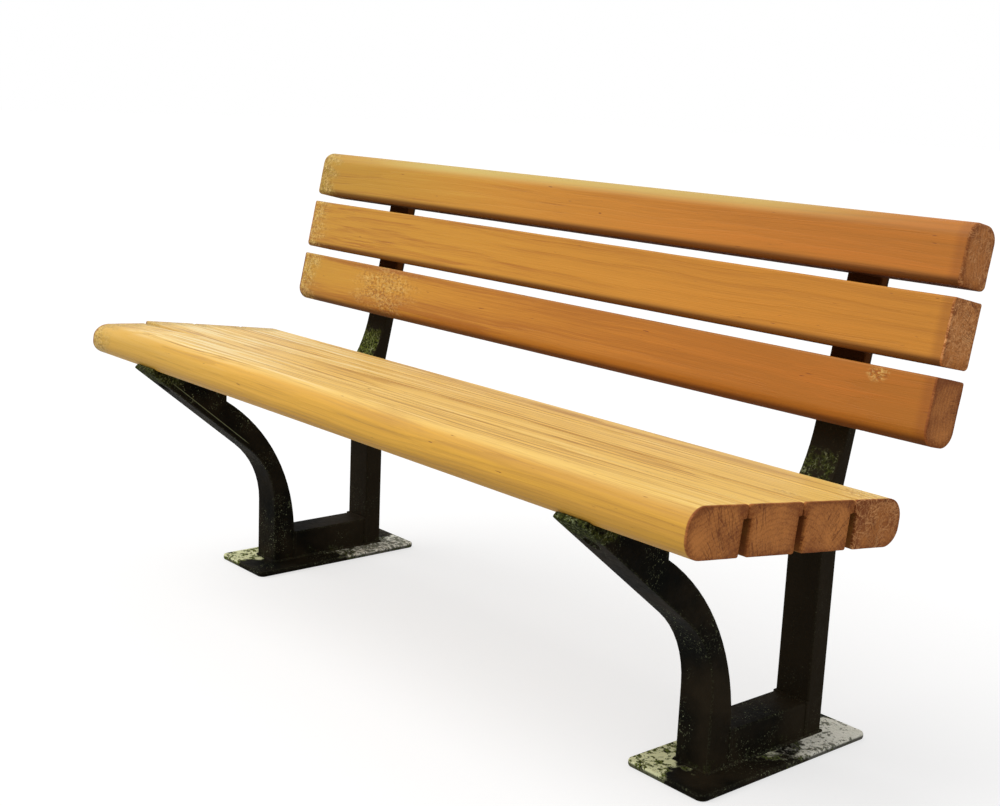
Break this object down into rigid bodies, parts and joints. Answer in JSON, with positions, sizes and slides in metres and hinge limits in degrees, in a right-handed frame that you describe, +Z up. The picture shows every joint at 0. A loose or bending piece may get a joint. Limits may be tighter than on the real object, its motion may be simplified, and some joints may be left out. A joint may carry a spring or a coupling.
{
  "type": "outdoor bench",
  "caption": "Outdoor park bench: thick timber seat planks and back slats with rounded outer edges, on black metal end frames with swept front legs and flat base plates.",
  "frame": {"origin": "on the ground, in the middle of the bounding box's footprint", "axes": "+X along the bench towards the sitter's left, +Y from the seat's front edge towards its back, +Z up"},
  "size_m": [1.5, 0.5942, 0.7758],
  "materials": {
    "seat_timber": "golden timber, weathered and paler on the seat's upper face, brown end grain",
    "back_timber": "orange-brown stained timber, satin, brown end grain",
    "black_paint": "black paint, matt, scuffed and speckled, mossy and worn at the ends of the base plates",
    "zinc_plate": "dull zinc-plated steel"
  },
  "bodies": {
    "root": {"seat_plank_front": "seat_timber", "seat_plank_second": "seat_timber", "seat_plank_third": "seat_timber", "seat_plank_rear": "seat_timber", "back_slat_bottom": "back_timber", "back_slat_middle": "back_timber", "back_slat_top": "back_timber", "base_plate_left": "black_paint", "base_plate_right": "black_paint", "front_leg_left": "black_paint", "front_leg_right": "black_paint", "rear_post_left": "black_paint", "rear_post_right": "black_paint", "seat_bearer_left": "black_paint", "seat_bearer_right": "black_paint", "foot_rail_left": "black_paint", "foot_rail_right": "black_paint", "screw_seat_plank_front_left": "zinc_plate", "screw_seat_plank_front_right": "zinc_plate", "screw_seat_plank_second_left": "zinc_plate", "screw_seat_plank_second_right": "zinc_plate", "screw_seat_plank_third_left": "zinc_plate", "screw_seat_plank_third_right": "zinc_plate", "screw_seat_plank_rear_left": "zinc_plate", "screw_seat_plank_rear_right": "zinc_plate", "screw_back_slat_bottom_left": "zinc_plate", "screw_back_slat_bottom_right": "zinc_plate", "screw_back_slat_middle_left": "zinc_plate", "screw_back_slat_middle_right": "zinc_plate", "screw_back_slat_top_left": "zinc_plate", "screw_back_slat_top_right": "zinc_plate", "washer_seat_plank_front_left": "zinc_plate", "washer_seat_plank_front_right": "zinc_plate", "washer_seat_plank_second_left": "zinc_plate", "washer_seat_plank_second_right": "zinc_plate", "washer_seat_plank_third_left": "zinc_plate", "washer_seat_plank_third_right": "zinc_plate", "washer_seat_plank_rear_left": "zinc_plate", "washer_seat_plank_rear_right": "zinc_plate", "washer_back_slat_bottom_left": "zinc_plate", "washer_back_slat_bottom_right": "zinc_plate", "washer_back_slat_middle_left": "zinc_plate", "washer_back_slat_middle_right": "zinc_plate", "washer_back_slat_top_left": "zinc_plate", "washer_back_slat_top_right": "zinc_plate"}
  },
  "joints": []
}
